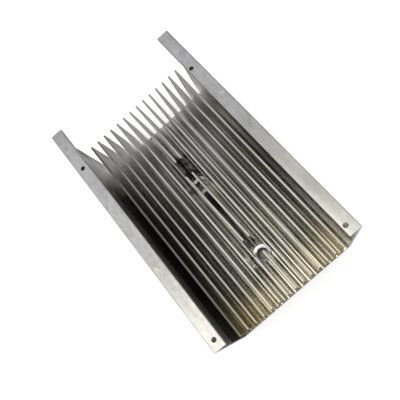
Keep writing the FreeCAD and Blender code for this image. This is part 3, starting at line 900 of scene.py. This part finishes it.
def burr(name, middle, size, lumps):
    """A lumpy ball whose points are

    middle + size * (1 + lumps sin 3u sin 4v) * (cos u sin v, sin u sin v, cos v).
    """
    around, down, pole = 28, 15, 0.08
    v, u = np.meshgrid(
        np.linspace(pole, math.pi - pole, down),
        np.linspace(0, 2 * math.pi, around, endpoint=False),
        indexing="ij",
    )
    reach = 1 + lumps * np.sin(3 * u) * np.sin(4 * v)
    ball = np.stack((np.cos(u) * np.sin(v), np.sin(u) * np.sin(v), np.cos(v)), axis=-1)
    points = np.array(middle) + np.array(size) * reach[..., None] * ball
    numbers = np.arange(down * around).reshape(down, around)
    turned = np.roll(numbers, -1, axis=1)
    quads = np.stack((numbers[:-1], numbers[1:], turned[1:], turned[:-1]), axis=-1)
    caps = [numbers[0].tolist(), numbers[-1, ::-1].tolist()]
    mesh = bpy.data.meshes.new(name)
    mesh.from_pydata(points.reshape(-1, 3).tolist(), [], quads.reshape(-1, 4).tolist() + caps)
    mesh.polygons.foreach_set("use_smooth", np.ones(len(mesh.polygons), dtype=bool))
    return bpy.data.objects.new(name, mesh)


class HEATSINK_OT_burrs(bpy.types.Operator):
    """Add the two burrs of bright metal"""

    bl_idname = "heatsink.burrs"
    bl_label = "Add the burrs"

    def execute(self, context):
        look = context.scene.heatsink_burrs
        metal = torn_metal(look)
        for name, middle, size in (
            ("flank_burr", look.flank_place, look.flank_size),
            ("floor_burr", look.floor_place, look.floor_size),
        ):
            piece = burr(name, middle, size, look.lumps)
            piece.data.materials.append(metal)
            context.scene.collection.objects.link(piece)
            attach(piece, "root")
        return {"FINISHED"}


def seen_ray(g):
    """1 for rays that show the surroundings: to the camera, in metal or through glass."""
    path = g.node("ShaderNodeLightPath").outputs
    camera = Field(g, path["Is Camera Ray"])
    return camera.larger(path["Is Glossy Ray"]).larger(path["Is Transmission Ray"])


def white_floor(stage):
    """A matt white floor that shows white where nothing shades it.

    Under the part it is painted dark, a painted shadow, apart from the round patch that is seen
    through the near hole, which is painted light.
    """
    material = bpy.data.materials.new("floor_white")
    g = Graph(material)
    surface = Surface(g)
    width, depth = HIGH.x / MM, HIGH.y / MM
    under = surface.axes["abs_x"].above(width, width - UNDER_FADE)
    under = under * surface.axes["abs_y"].above(depth, depth - UNDER_FADE)
    colour = g.mix(under, stage.floor_colour, UNDER_PAINT)
    paint = g.node("ShaderNodeBsdfDiffuse", sockets={"Color": colour})
    # Painted shadow round the patch seen through the near hole.
    beyond = surface.distance(HOLE_GLOW_PLACE).above(*HOLE_GLOW_EDGE)
    level = OPEN_GLOW - under * (OPEN_GLOW - HOLE_GLOW + HOLE_GLOW * beyond)
    light = {"Color": g.mix(under, WHITE, UNDER_TINT), "Strength": seen_ray(g) * level}
    glow = g.node("ShaderNodeEmission", sockets=light)
    both = g.node("ShaderNodeAddShader", sockets={0: paint.outputs[0], 1: glow.outputs[0]})
    g.node("ShaderNodeOutputMaterial", sockets={"Surface": both.outputs[0]})
    return material


def room(stage):
    """White surroundings, a little darker overhead in metal, with their own level for lighting."""
    world = bpy.data.worlds.new("room")
    g = Graph(world)
    direction = g.node("ShaderNodeTexCoord").outputs["Generated"]
    up = Field(g, g.node("ShaderNodeSeparateXYZ", sockets={0: direction}).outputs["Z"])
    darker = sum((share * up.above(*steps) for share, *steps in OVERHEAD), 0.0)
    shown = ROOM_SHOWN * (1 - darker)
    seen = seen_ray(g)
    camera = Field(g, g.node("ShaderNodeLightPath").outputs["Is Camera Ray"])
    strength = (1 - camera) * (seen * shown + (1 - seen) * stage.sky_level) + camera
    background = g.node("ShaderNodeBackground", sockets={"Color": WHITE, "Strength": strength})
    g.node("ShaderNodeOutputWorld", sockets={"Surface": background.outputs[0]})
    return world


def add_floor(scene, stage):
    """A square floor under the part."""
    half = stage.floor_size / 2
    corners = [(-half, -half, 0), (half, -half, 0), (half, half, 0), (-half, half, 0)]
    mesh = bpy.data.meshes.new("floor")
    mesh.from_pydata(corners, [], [(0, 1, 2, 3)])
    mesh.materials.append(white_floor(stage))
    floor = bpy.data.objects.new("floor", mesh)
    scene.collection.objects.link(floor)


def add_key(scene, stage):
    """The soft lamp, turned to the middle of the floor."""
    lamp = bpy.data.lights.new("soft_key", "AREA")
    lamp.energy = stage.key_power
    lamp.size = stage.key_size
    key = bpy.data.objects.new("soft_key", lamp)
    key.location = stage.key_place
    key.rotation_euler = (-key.location).to_track_quat("-Z", "Y").to_euler()
    scene.collection.objects.link(key)


def add_camera(scene, stage):
    """The camera of the photo's view."""
    lens = bpy.data.cameras.new("camera")
    lens.sensor_width = SENSOR_WIDTH
    lens.lens = stage.lens
    lens.clip_start = CLIP_START
    camera = bpy.data.objects.new("camera", lens)
    camera.location = stage.camera_place
    camera.rotation_euler = stage.camera_turn
    scene.collection.objects.link(camera)
    scene.camera = camera


class HEATSINK_OT_stage(bpy.types.Operator):
    """Set up the floor, the soft light and the camera"""

    bl_idname = "heatsink.stage"
    bl_label = "Set up the studio"

    def execute(self, context):
        scene = context.scene
        stage = scene.heatsink_stage
        add_floor(scene, stage)
        add_key(scene, stage)
        add_camera(scene, stage)
        scene.world = room(stage)
        scene.view_settings.view_transform = "Standard"
        return {"FINISHED"}


class HEATSINK_PT_panel(bpy.types.Panel):
    """Lists the heat sink's steps and settings"""

    bl_idname = "HEATSINK_PT_panel"
    bl_label = "Heat sink"
    bl_space_type = "VIEW_3D"
    bl_region_type = "UI"
    bl_category = "Heat sink"

    def draw(self, context):
        layout = self.layout
        for operator, settings in (
            (HEATSINK_OT_dress, context.scene.heatsink_metal),
            (HEATSINK_OT_burrs, context.scene.heatsink_burrs),
            (HEATSINK_OT_stage, context.scene.heatsink_stage),
        ):
            box = layout.box()
            box.operator(operator.bl_idname)
            for name in settings.__annotations__:
                box.prop(settings, name)


CLASSES = (
    MetalSettings,
    BurrSettings,
    StageSettings,
    HEATSINK_OT_dress,
    HEATSINK_OT_burrs,
    HEATSINK_OT_stage,
    HEATSINK_PT_panel,
)


def register():
    for cls in CLASSES:
        bpy.utils.register_class(cls)
    bpy.types.Scene.heatsink_metal = bpy.props.PointerProperty(type=MetalSettings)
    bpy.types.Scene.heatsink_burrs = bpy.props.PointerProperty(type=BurrSettings)
    bpy.types.Scene.heatsink_stage = bpy.props.PointerProperty(type=StageSettings)


def unregister():
    del bpy.types.Scene.heatsink_metal
    del bpy.types.Scene.heatsink_burrs
    del bpy.types.Scene.heatsink_stage
    for cls in reversed(CLASSES):
        bpy.utils.unregister_class(cls)


def main():
    register()
    bpy.ops.heatsink.dress()
    bpy.ops.heatsink.burrs()
    bpy.ops.heatsink.stage()


if __name__ == "__main__":
    main()
